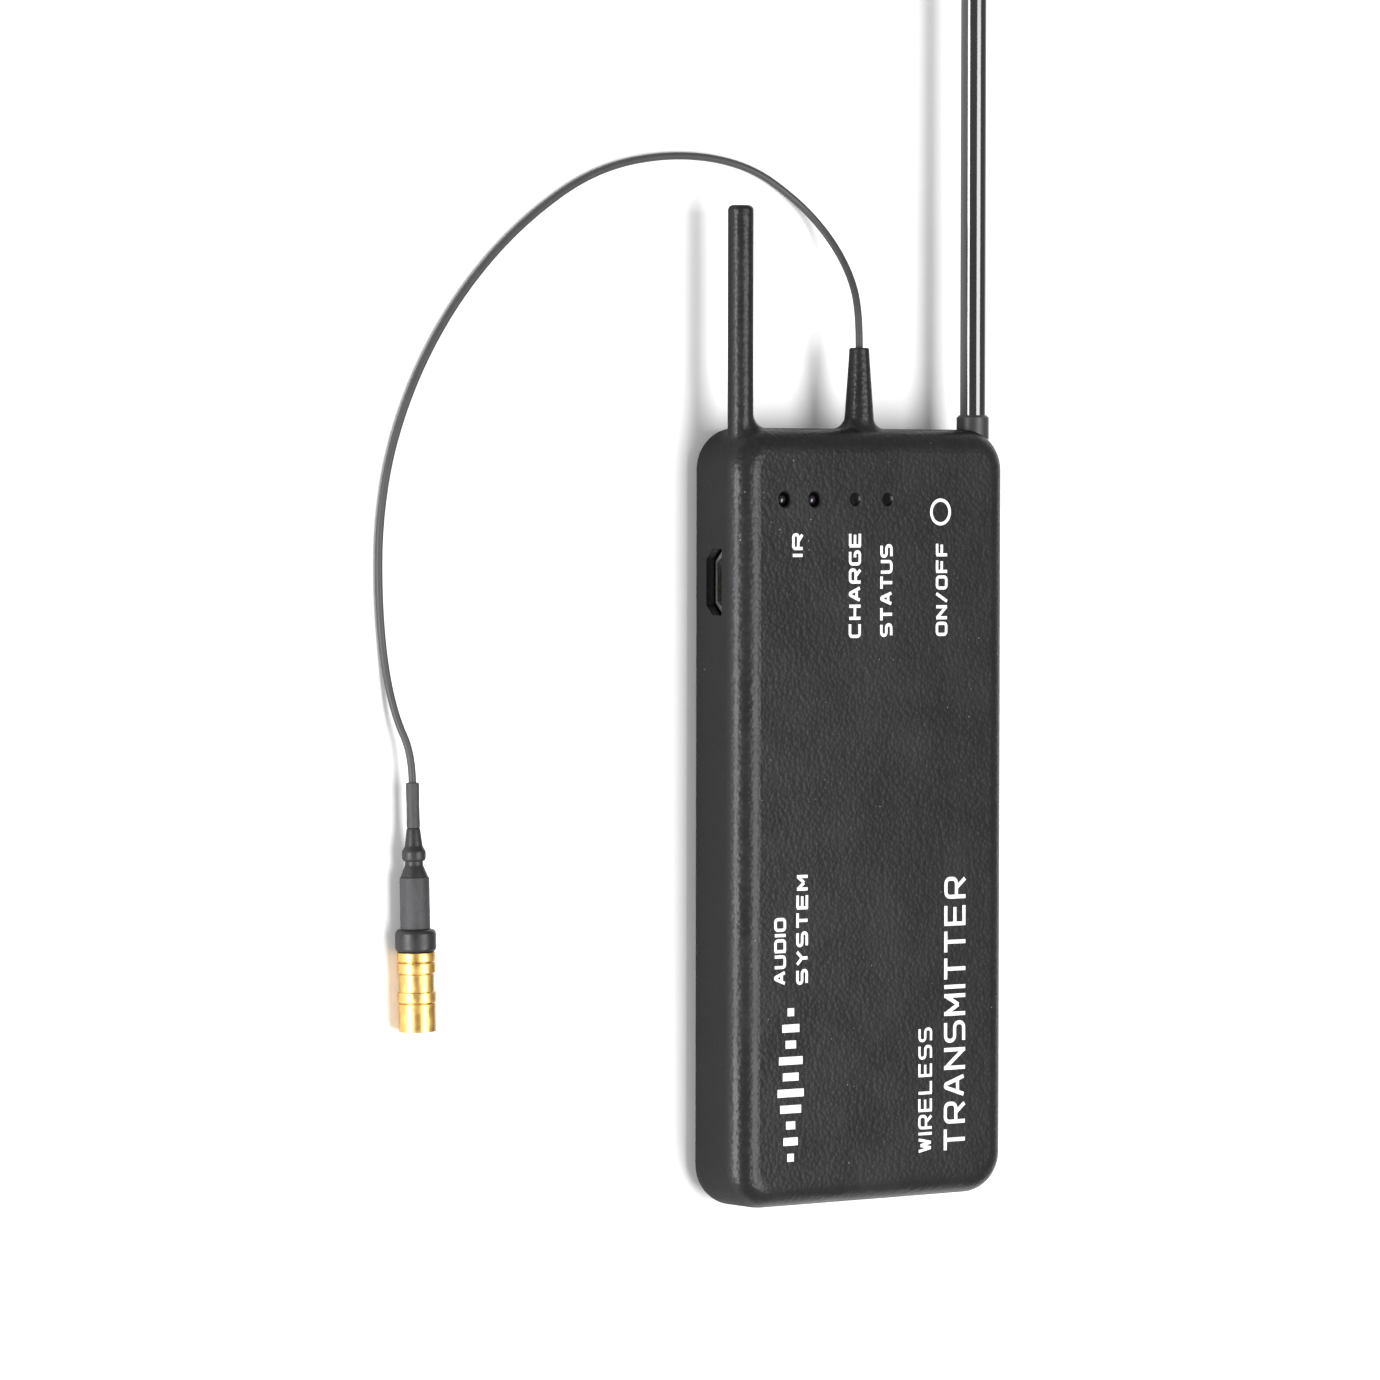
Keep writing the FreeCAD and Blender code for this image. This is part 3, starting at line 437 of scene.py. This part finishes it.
# %% Letter strokes
LETTERS = {
    "A": [[(0, 0), (0.42, 1), (0.58, 1), (1, 0)], [(0.15, 0.33), (0.85, 0.33)]],
    "C": [[(1, 1), (0, 1), (0, 0), (1, 0)]],
    "D": [[(0, 0), (1, 0), (1, 1), (0, 1)], [(0, -0.08), (0, 1.08)]],
    "E": [[(0, 1), (1, 1)], [(0, 0.5), (0.92, 0.5)], [(0, 0), (1, 0)], [(0, -0.08), (0, 1.08)]],
    "F": [[(0, 1), (1, 1)], [(0, 0.5), (0.92, 0.5)], [(0, -0.08), (0, 1.08)]],
    "G": [[(1, 1), (0, 1), (0, 0), (1, 0), (1, 0.5), (0.55, 0.5)]],
    "H": [[(0, -0.08), (0, 1.08)], [(1, -0.08), (1, 1.08)], [(0, 0.5), (1, 0.5)]],
    "I": [[(0, -0.08), (0, 1.08)]],
    "L": [[(0, 1.08), (0, -0.08)], [(0, 0), (1, 0)]],
    "M": [[(0, -0.08), (0, 1.08)], [(0, 1), (0.5, 0.3)], [(0.5, 0.3), (1, 1)], [(1, -0.08), (1, 1.08)]],
    "N": [[(0, -0.08), (0, 1.08)], [(0, 1), (1, 0)], [(1, -0.08), (1, 1.08)]],
    "O": [[(0.5, 0), (0, 0), (0, 1), (1, 1), (1, 0), (0.5, 0)]],
    "R": [[(0, -0.08), (0, 1), (1, 1), (1, 0.42), (0, 0.42)], [(0.5, 0.42), (1, -0.05)]],
    "S": [[(1, 1), (0, 1), (0, 0.5), (1, 0.5), (1, 0), (0, 0)]],
    "T": [[(-0.08, 1), (1.08, 1)], [(0.5, 1), (0.5, -0.08)]],
    "U": [[(0, 1.08), (0, 0), (1, 0), (1, 1.08)]],
    "W": [[(0, 1.05), (0.27, 0)], [(0.27, 0), (0.5, 0.9)], [(0.5, 0.9), (0.73, 0)], [(0.73, 0), (1, 1.05)]],
    "Y": [[(0, 1.05), (0.5, 0.5), (1, 1.05)], [(0.5, 0.5), (0.5, -0.08)]],
    "/": [[(0, -0.08), (1, 1.08)]],
}
NARROW = {"I": 0.0, "/": 0.7}
LETTER_GAP = 0.5
INK_HEIGHT = 0.012 * MM


def word_strokes(word, low, high, line):
    """The strokes of a word that fills the box from low to high (mm), read along +Y with its tops to -X."""
    tall = high[0] - low[0] - line
    widths = [NARROW.get(letter, 1.0) for letter in word]
    unit = (high[1] - low[1] - line) / (sum(widths) + LETTER_GAP * (len(word) - 1))
    strokes = []
    here = low[1] + line / 2
    for letter, width in zip(word, widths):
        for stroke in LETTERS[letter]:
            across = unit * (width or 1)
            strokes.append([(high[0] - line / 2 - y * tall, here + x * across) for x, y in stroke])
        here += (width + LETTER_GAP) * unit
    return strokes


def stroke_mesh(name, strokes):
    """Bare edges along the strokes, in metres on the ground plane, for the stroke tree to thicken."""
    mesh = bpy.data.meshes.new(name)
    points = [(x * MM, y * MM, 0) for stroke in strokes for x, y in stroke]
    edges = []
    first = 0
    for stroke in strokes:
        edges += [(first + i, first + i + 1) for i in range(len(stroke) - 1)]
        first += len(stroke)
    mesh.from_pydata(points, edges, [])
    return add_object(name, mesh)


def stroke_tree():
    """Geometry Nodes: bare edges in, flat rounded ink strokes out."""
    tree = bpy.data.node_groups.new("ink_strokes", "GeometryNodeTree")
    sockets = tree.interface
    sockets.new_socket("Strokes", in_out="INPUT", socket_type="NodeSocketGeometry")
    for label in ("Line Width", "Corner", "Ink Height", "Face Height"):
        sockets.new_socket(label, in_out="INPUT", socket_type="NodeSocketFloat")
    sockets.new_socket("Ink", in_out="INPUT", socket_type="NodeSocketMaterial")
    sockets.new_socket("Print", in_out="OUTPUT", socket_type="NodeSocketGeometry")
    given = tree.nodes.new("NodeGroupInput").outputs
    result = tree.nodes.new("NodeGroupOutput")
    curve = add_node(tree, "GeometryNodeMeshToCurve", {"Mesh": given["Strokes"]})
    rounded = add_node(tree, "GeometryNodeFilletCurve",
                       {"Curve": curve.outputs["Curve"], "Radius": given["Corner"], "Count": 4}, mode="POLY")
    rounded.inputs["Limit Radius"].default_value = True
    ring = add_node(tree, "GeometryNodeCurvePrimitiveCircle",
                    {"Resolution": 12, "Radius": math_node(tree, "MULTIPLY", given["Line Width"], 0.5)},
                    mode="RADIUS")
    swept = add_node(tree, "GeometryNodeCurveToMesh",
                     {"Curve": rounded.outputs["Curve"], "Profile Curve": ring.outputs["Curve"],
                      "Fill Caps": True})
    flatness = math_node(tree, "DIVIDE", given["Ink Height"], given["Line Width"])
    press = add_node(tree, "ShaderNodeCombineXYZ", {"X": 1.0, "Y": 1.0, "Z": flatness})
    lift = add_node(tree, "ShaderNodeCombineXYZ", {"X": 0.0, "Y": 0.0, "Z": given["Face Height"]})
    pressed = add_node(tree, "GeometryNodeTransform",
                       {"Geometry": swept.outputs["Mesh"], "Scale": press.outputs[0],
                        "Translation": lift.outputs[0]})
    real = add_node(tree, "GeometryNodeRealizeInstances", {"Geometry": pressed.outputs["Geometry"]})
    inked = add_node(tree, "GeometryNodeSetMaterial",
                     {"Geometry": real.outputs["Geometry"], "Material": given["Ink"]})
    tree.links.new(inked.outputs["Geometry"], result.inputs["Print"])
    return tree


def run_tree(thing, tree, **values):
    """Runs a Geometry Nodes tree on a piece and keeps the plain mesh that it makes."""
    modifier = thing.modifiers.new("tree", "NODES")
    modifier.node_group = tree
    sockets = {s.name: s.identifier for s in tree.interface.items_tree if s.in_out == "INPUT"}
    for label, value in values.items():
        modifier[sockets[label.replace("_", " ")]] = value
    bpy.context.view_layer.update()
    made = bpy.data.meshes.new_from_object(thing.evaluated_get(bpy.context.evaluated_depsgraph_get()))
    thing.modifiers.remove(modifier)
    thing.data = made
    return thing


INK_TREE = stroke_tree()
white_ink = finish("legend_ink", (0.7, 0.7, 0.69), 0.6, specular=0.3, grain=0.08, depth=3, patches=1.2,
                   tone=0.18, gloss=0.08, dust=0.2)
print("letters:", len(LETTERS))

# %% [markdown]
# ### The words on the front
# The windows are named for the infrared link and the two lights, and the button for its job. The large
# print lower down is a plain name of what the thing is, with a row of level bars as a picture of sound.
# Words could be one mesh each: they are one print, so they are one piece.

# %% Legends
LEGEND_LINE = 0.4
WIRELESS_LINE = 0.36
TRANSMITTER_LINE = 0.5
CORNER_SHARE = 0.18
WORDS = [
    ("IR", (-13.26, 31.48), (-11.58, 34.36), LEGEND_LINE),
    ("CHARGE", (-4.51, 21.64), (-2.61, 34.46), LEGEND_LINE),
    ("STATUS", (0.39, 21.71), (2.32, 33.0), LEGEND_LINE),
    ("ON/OFF", (9.13, 21.73), (10.99, 33.21), LEGEND_LINE),
    ("AUDIO", (-15.88, -19.99), (-14.06, -11.88), LEGEND_LINE),
    ("SYSTEM", (-12.5, -20.08), (-10.69, -6.81), LEGEND_LINE),
    ("WIRELESS", (6.58, -41.46), (8.75, -26.13), WIRELESS_LINE),
    ("TRANSMITTER", (10.63, -41.45), (14.01, -7.8), TRANSMITTER_LINE),
]
BARS_LOW = (-15.82, -41.38)
BARS_HIGH = (-10.8, -22.81)
BAR_LINE = 1.0
BAR_SHARES = (0.25, 0.55, 0.35, 0.8, 1.0, 0.6, 0.9, 0.4, 0.65, 0.25)


def level_bars(low, high, shares, line):
    """A row of upright bars of different heights, centred on one line."""
    middle = (low[0] + high[0]) / 2
    step = (high[1] - low[1] - line) / (len(shares) - 1)
    half = (high[0] - low[0] - line) / 2
    places = [low[1] + line / 2 + i * step for i in range(len(shares))]
    return [[(middle + half * share, y), (middle - half * share, y)] for share, y in zip(shares, places)]


def print_on_front(name, strokes, line, corner, ink, face=FRONT_FACE):
    thing = stroke_mesh(name, strokes)
    return run_tree(thing, INK_TREE, Line_Width=line * MM, Corner=corner * MM, Ink_Height=INK_HEIGHT,
                    Face_Height=face, Ink=ink)


def join(name, things):
    """Several pieces as one, named after what they are together."""
    whole = bmesh.new()
    for thing in things:
        whole.from_mesh(thing.data)
    mesh = bpy.data.meshes.new(name)
    whole.to_mesh(mesh)
    whole.free()
    mesh.materials.append(things[0].data.materials[0])
    for thing in things:
        bpy.data.objects.remove(thing)
    return add_object(name, mesh)


prints = []
for word, low, high, line in WORDS:
    corner = CORNER_SHARE * (high[0] - low[0])
    prints.append(print_on_front(word, word_strokes(word, low, high, line), line, corner, white_ink))
bars = level_bars(BARS_LOW, BARS_HIGH, BAR_SHARES, BAR_LINE)
prints.append(print_on_front("bars", bars, BAR_LINE, 0, white_ink))
legends = join("front_legends", prints)
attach(legends, "case")
print("legends:", len(WORDS), "words,", len(legends.data.polygons), "faces")

# %% [markdown]
# ### The ring on the button
# A white ring is printed round the button's rubber cap, and it travels with the button. It is one closed
# stroke through the same ink tree.

# %% Button ring
BUTTON_LOW, BUTTON_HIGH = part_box("power_button")
RING_LINE = 0.42
RING_DIAMETER = 3.32
RING_POINTS = 64
ring_place = ((BUTTON_LOW + BUTTON_HIGH) / 2 / MM).to_2d()
ring_radius = (RING_DIAMETER - RING_LINE) / 2
turns = [2 * math.pi * i / RING_POINTS for i in range(RING_POINTS + 1)]
circle = [(ring_place.x + ring_radius * math.cos(a), ring_place.y + ring_radius * math.sin(a)) for a in turns]
button_ring = print_on_front("button_ring", [circle], RING_LINE, 0, white_ink, face=BUTTON_HIGH.z)
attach(button_ring, "power_button")
print("button ring at", tuple(round(v, 2) for v in ring_place), "height", round(BUTTON_HIGH.z / MM, 3))

# %% [markdown]
# ## The connector
# The far end of the cable is a turned coaxial connector: shrink sleeve, moulded strain relief, black
# sleeve and collar, and a gilt barrel. The frame has them with sharp corners. Each is turned again here
# on the same axis and to the same size, with its corners broken, because real turned and moulded edges
# catch the light. A bevel on the frame's own pieces could do it, but their meshes stay as they are.

# %% Turned pieces
PLUG_TURN = math.radians(1.5)
PLUG_END = Vector((-62.35, -23.87, PLUG_HEIGHT))
PLUG_LENGTH = 29.15
PLUG_AXIS = Vector((math.sin(PLUG_TURN), -math.cos(PLUG_TURN), 0))
PLUG_START = PLUG_END - PLUG_AXIS * PLUG_LENGTH
PLUG_SIDES = 72
ARC_STEPS = 3
EDGE_SHARE = 0.45
WELD = 1e-7
SHARP_FROM = math.radians(38)


def broken_corner(before, corner, after, size):
    """The corner of an outline replaced by a short arc."""
    into = before - corner
    out = after - corner
    size = min(size, into.length * EDGE_SHARE, out.length * EDGE_SHARE)
    start = corner + into.normalized() * size
    end = corner + out.normalized() * size
    points = []
    for i in range(ARC_STEPS + 1):
        share = i / ARC_STEPS
        points.append(start.lerp(corner, share).lerp(corner.lerp(end, share), share))
    return points


def turned_piece(name, outline, size):
    """A ring turned on the connector's axis from a closed outline of (along, radius) in mm."""
    outline = [Vector(point) for point in outline]
    profile = []
    for i, corner in enumerate(outline):
        profile += broken_corner(outline[i - 1], corner, outline[(i + 1) % len(outline)], size)
    across = Vector((0, 0, 1))
    sideways = PLUG_AXIS.cross(across)
    solid = bmesh.new()
    rings = []
    for side in range(PLUG_SIDES):
        angle = 2 * math.pi * side / PLUG_SIDES
        radial = across * math.cos(angle) + sideways * math.sin(angle)
        rings.append([solid.verts.new((PLUG_START + PLUG_AXIS * p.x + radial * p.y) * MM) for p in profile])
    for side, ring in enumerate(rings):
        following = rings[(side + 1) % PLUG_SIDES]
        for i in range(len(profile)):
            j = (i + 1) % len(profile)
            solid.faces.new((ring[i], ring[j], following[j], following[i]))
    bmesh.ops.remove_doubles(solid, verts=solid.verts, dist=WELD)
    bmesh.ops.recalc_face_normals(solid, faces=solid.faces)
    mesh = bpy.data.meshes.new(name)
    solid.to_mesh(mesh)
    solid.free()
    mesh.shade_smooth()
    mesh.set_sharp_from_angle(angle=SHARP_FROM)
    return add_object(name, mesh)


def stand_in(piece, node):
    """The new piece takes over from a frame node: its body, its slot and its finish."""
    piece.data.materials.append(finishes[slot_of[node]])
    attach(piece, "case")
    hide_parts(node)
    return piece


BORE = CABLE_DIAMETER / 2 / MM
SHRINK_END = 5.3
SHRINK_RADIUS = 0.79
SHRINK_THINNER = 0.02
SHRINK_WAVES = ((0.012, 9), (0.008, 23))
SHRINK_STEPS = 16
BOOT_END = 11.05
BOOT_TAPER_START = 0.5
BOOT_UNDER_SLEEVE = 0.1
NECK = 1.05
BEAD = 1.4
BEAD_AT = 7.75
BEAD_TO = 9.15
BEAD_EASE = 0.3
BEAD_SHOULDER = 0.15
SLEEVE_RADIUS = 1.74
SLEEVE_END = 17.15
COLLAR_RADIUS = 2.4
COLLAR_EASE = 0.45
COLLAR_SHOULDER = 0.15
GILT_START = 19.85
shrink = [(0, BORE)]
for i in range(SHRINK_STEPS + 1):
    share = i / SHRINK_STEPS
    uneven = sum(depth * math.sin(waves * share) for depth, waves in SHRINK_WAVES)
    shrink.append((SHRINK_END * share, SHRINK_RADIUS - SHRINK_THINNER + uneven))
shrink.append((SHRINK_END, BORE))
boot = [(SHRINK_END, BORE), (SHRINK_END, SHRINK_RADIUS), (BEAD_AT - BEAD_EASE, NECK),
        (BEAD_AT, BEAD - BEAD_SHOULDER), (BEAD_AT + BEAD_EASE, BEAD), (BEAD_TO - BEAD_EASE, BEAD),
        (BEAD_TO, BEAD - BEAD_SHOULDER), (BEAD_TO, NECK), (BEAD_TO + BOOT_TAPER_START, NECK),
        (BOOT_END, SLEEVE_RADIUS - BOOT_UNDER_SLEEVE), (BOOT_END, BORE)]
sleeve = [(BOOT_END, BORE), (BOOT_END, SLEEVE_RADIUS), (SLEEVE_END, SLEEVE_RADIUS), (SLEEVE_END, BORE)]
collar = [(SLEEVE_END, BORE), (SLEEVE_END, COLLAR_RADIUS - COLLAR_EASE),
          (SLEEVE_END + COLLAR_SHOULDER, COLLAR_RADIUS - COLLAR_SHOULDER),
          (SLEEVE_END + COLLAR_EASE, COLLAR_RADIUS), (GILT_START - COLLAR_EASE, COLLAR_RADIUS),
          (GILT_START - COLLAR_SHOULDER, COLLAR_RADIUS - COLLAR_SHOULDER),
          (GILT_START, COLLAR_RADIUS - COLLAR_EASE), (GILT_START, BORE)]
# steps of the gilt barrel as (length, diameter): band, groove, ring, groove, waist, ring, groove, end
GILT_STEPS = [(1.05, 4.5), (0.15, 3.9), (1.2, 4.54), (0.15, 3.9), (2.1, 4.18), (1.2, 4.54), (0.15, 3.9),
              (3.3, 4.4)]
GILT_BORE = 1.3
GILT_MOUTH = 1.75
GILT_DEPTH = 4.1
barrel = [(GILT_START, GILT_BORE)]
here = GILT_START
for length, diameter in GILT_STEPS:
    barrel += [(here, diameter / 2), (here + length, diameter / 2)]
    here += length
barrel += [(here, GILT_MOUTH), (here - GILT_DEPTH, GILT_MOUTH), (here - GILT_DEPTH, GILT_BORE)]
# each piece, its outline, how far its corners are broken, and the frame node that it stands in for
CONNECTOR = [
    ("shrink_tube", shrink, 0.1, "shrink_sleeve"), ("strain_relief", boot, 0.16, "plug_boot"),
    ("black_sleeve", sleeve, 0.14, "plug_sleeve"), ("black_collar", collar, 0.12, "plug_collar"),
    ("gilt_barrel", barrel, 0.07, "plug_body"),
]
turned = [stand_in(turned_piece(name, outline, edge), node) for name, outline, edge, node in CONNECTOR]
print("turned pieces:", [piece.name for piece in turned])

# %% [markdown]
# ## Floor and light
# The part stands on a plain pale floor. Two long softboxes lie along the case: the one low on the left
# draws the bright streak down the left edge, the wide one overhead draws the second and fills the front.
# They could be lamps, but only a long even source draws long even streaks on rubber this dark.

# %% Floor and lights
FLOOR_HALF = 4.0
LIGHT_DISTANCE = 0.9
LIGHT_ALONG = -0.25
LIGHT_LENGTH = 0.9
ROOM_LIGHT = 0.45
floor_mesh = bpy.data.meshes.new("floor")
corners = [(-FLOOR_HALF, -FLOOR_HALF, 0), (FLOOR_HALF, -FLOOR_HALF, 0), (FLOOR_HALF, FLOOR_HALF, 0),
           (-FLOOR_HALF, FLOOR_HALF, 0)]
floor_mesh.from_pydata(corners, [], [(0, 1, 2, 3)])
floor = add_object("floor", floor_mesh)
floor.data.materials.append(finish("pale_floor", (0.8, 0.8, 0.8), 0.9, specular=0.2, grain=2, depth=4,
                                   patches=300, tone=0.01, gloss=0.02))
floor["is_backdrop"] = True
bpy.context.scene.view_settings.view_transform = "Standard"


def softbox(name, tilt, width, power):
    """A long softbox along the case, tilt degrees from straight above towards its left."""
    light = bpy.data.lights.new(name, "AREA")
    light.shape = "RECTANGLE"
    light.size = width
    light.size_y = LIGHT_LENGTH
    light.energy = power
    lamp = add_object(name, light)
    away = Matrix.Translation((0, LIGHT_ALONG, LIGHT_DISTANCE))
    lamp.matrix_world = Matrix.Rotation(-math.radians(tilt), 4, "Y") @ away
    return lamp


softbox("left_softbox", 82, 0.3, 17)
softbox("right_softbox", -10, 0.5, 14)
world = bpy.data.worlds.new("room")
bpy.context.scene.world = world
world.use_nodes = True
world.node_tree.nodes["Background"].inputs["Color"].default_value = (1, 1, 1, 1)
world.node_tree.nodes["Background"].inputs["Strength"].default_value = ROOM_LIGHT
print("floor and 2 softboxes")

# %% Sizes and the end
bpy.context.view_layer.update()
low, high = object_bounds()
print("visual box", [round(v / MM, 2) for v in (*low, *high)])
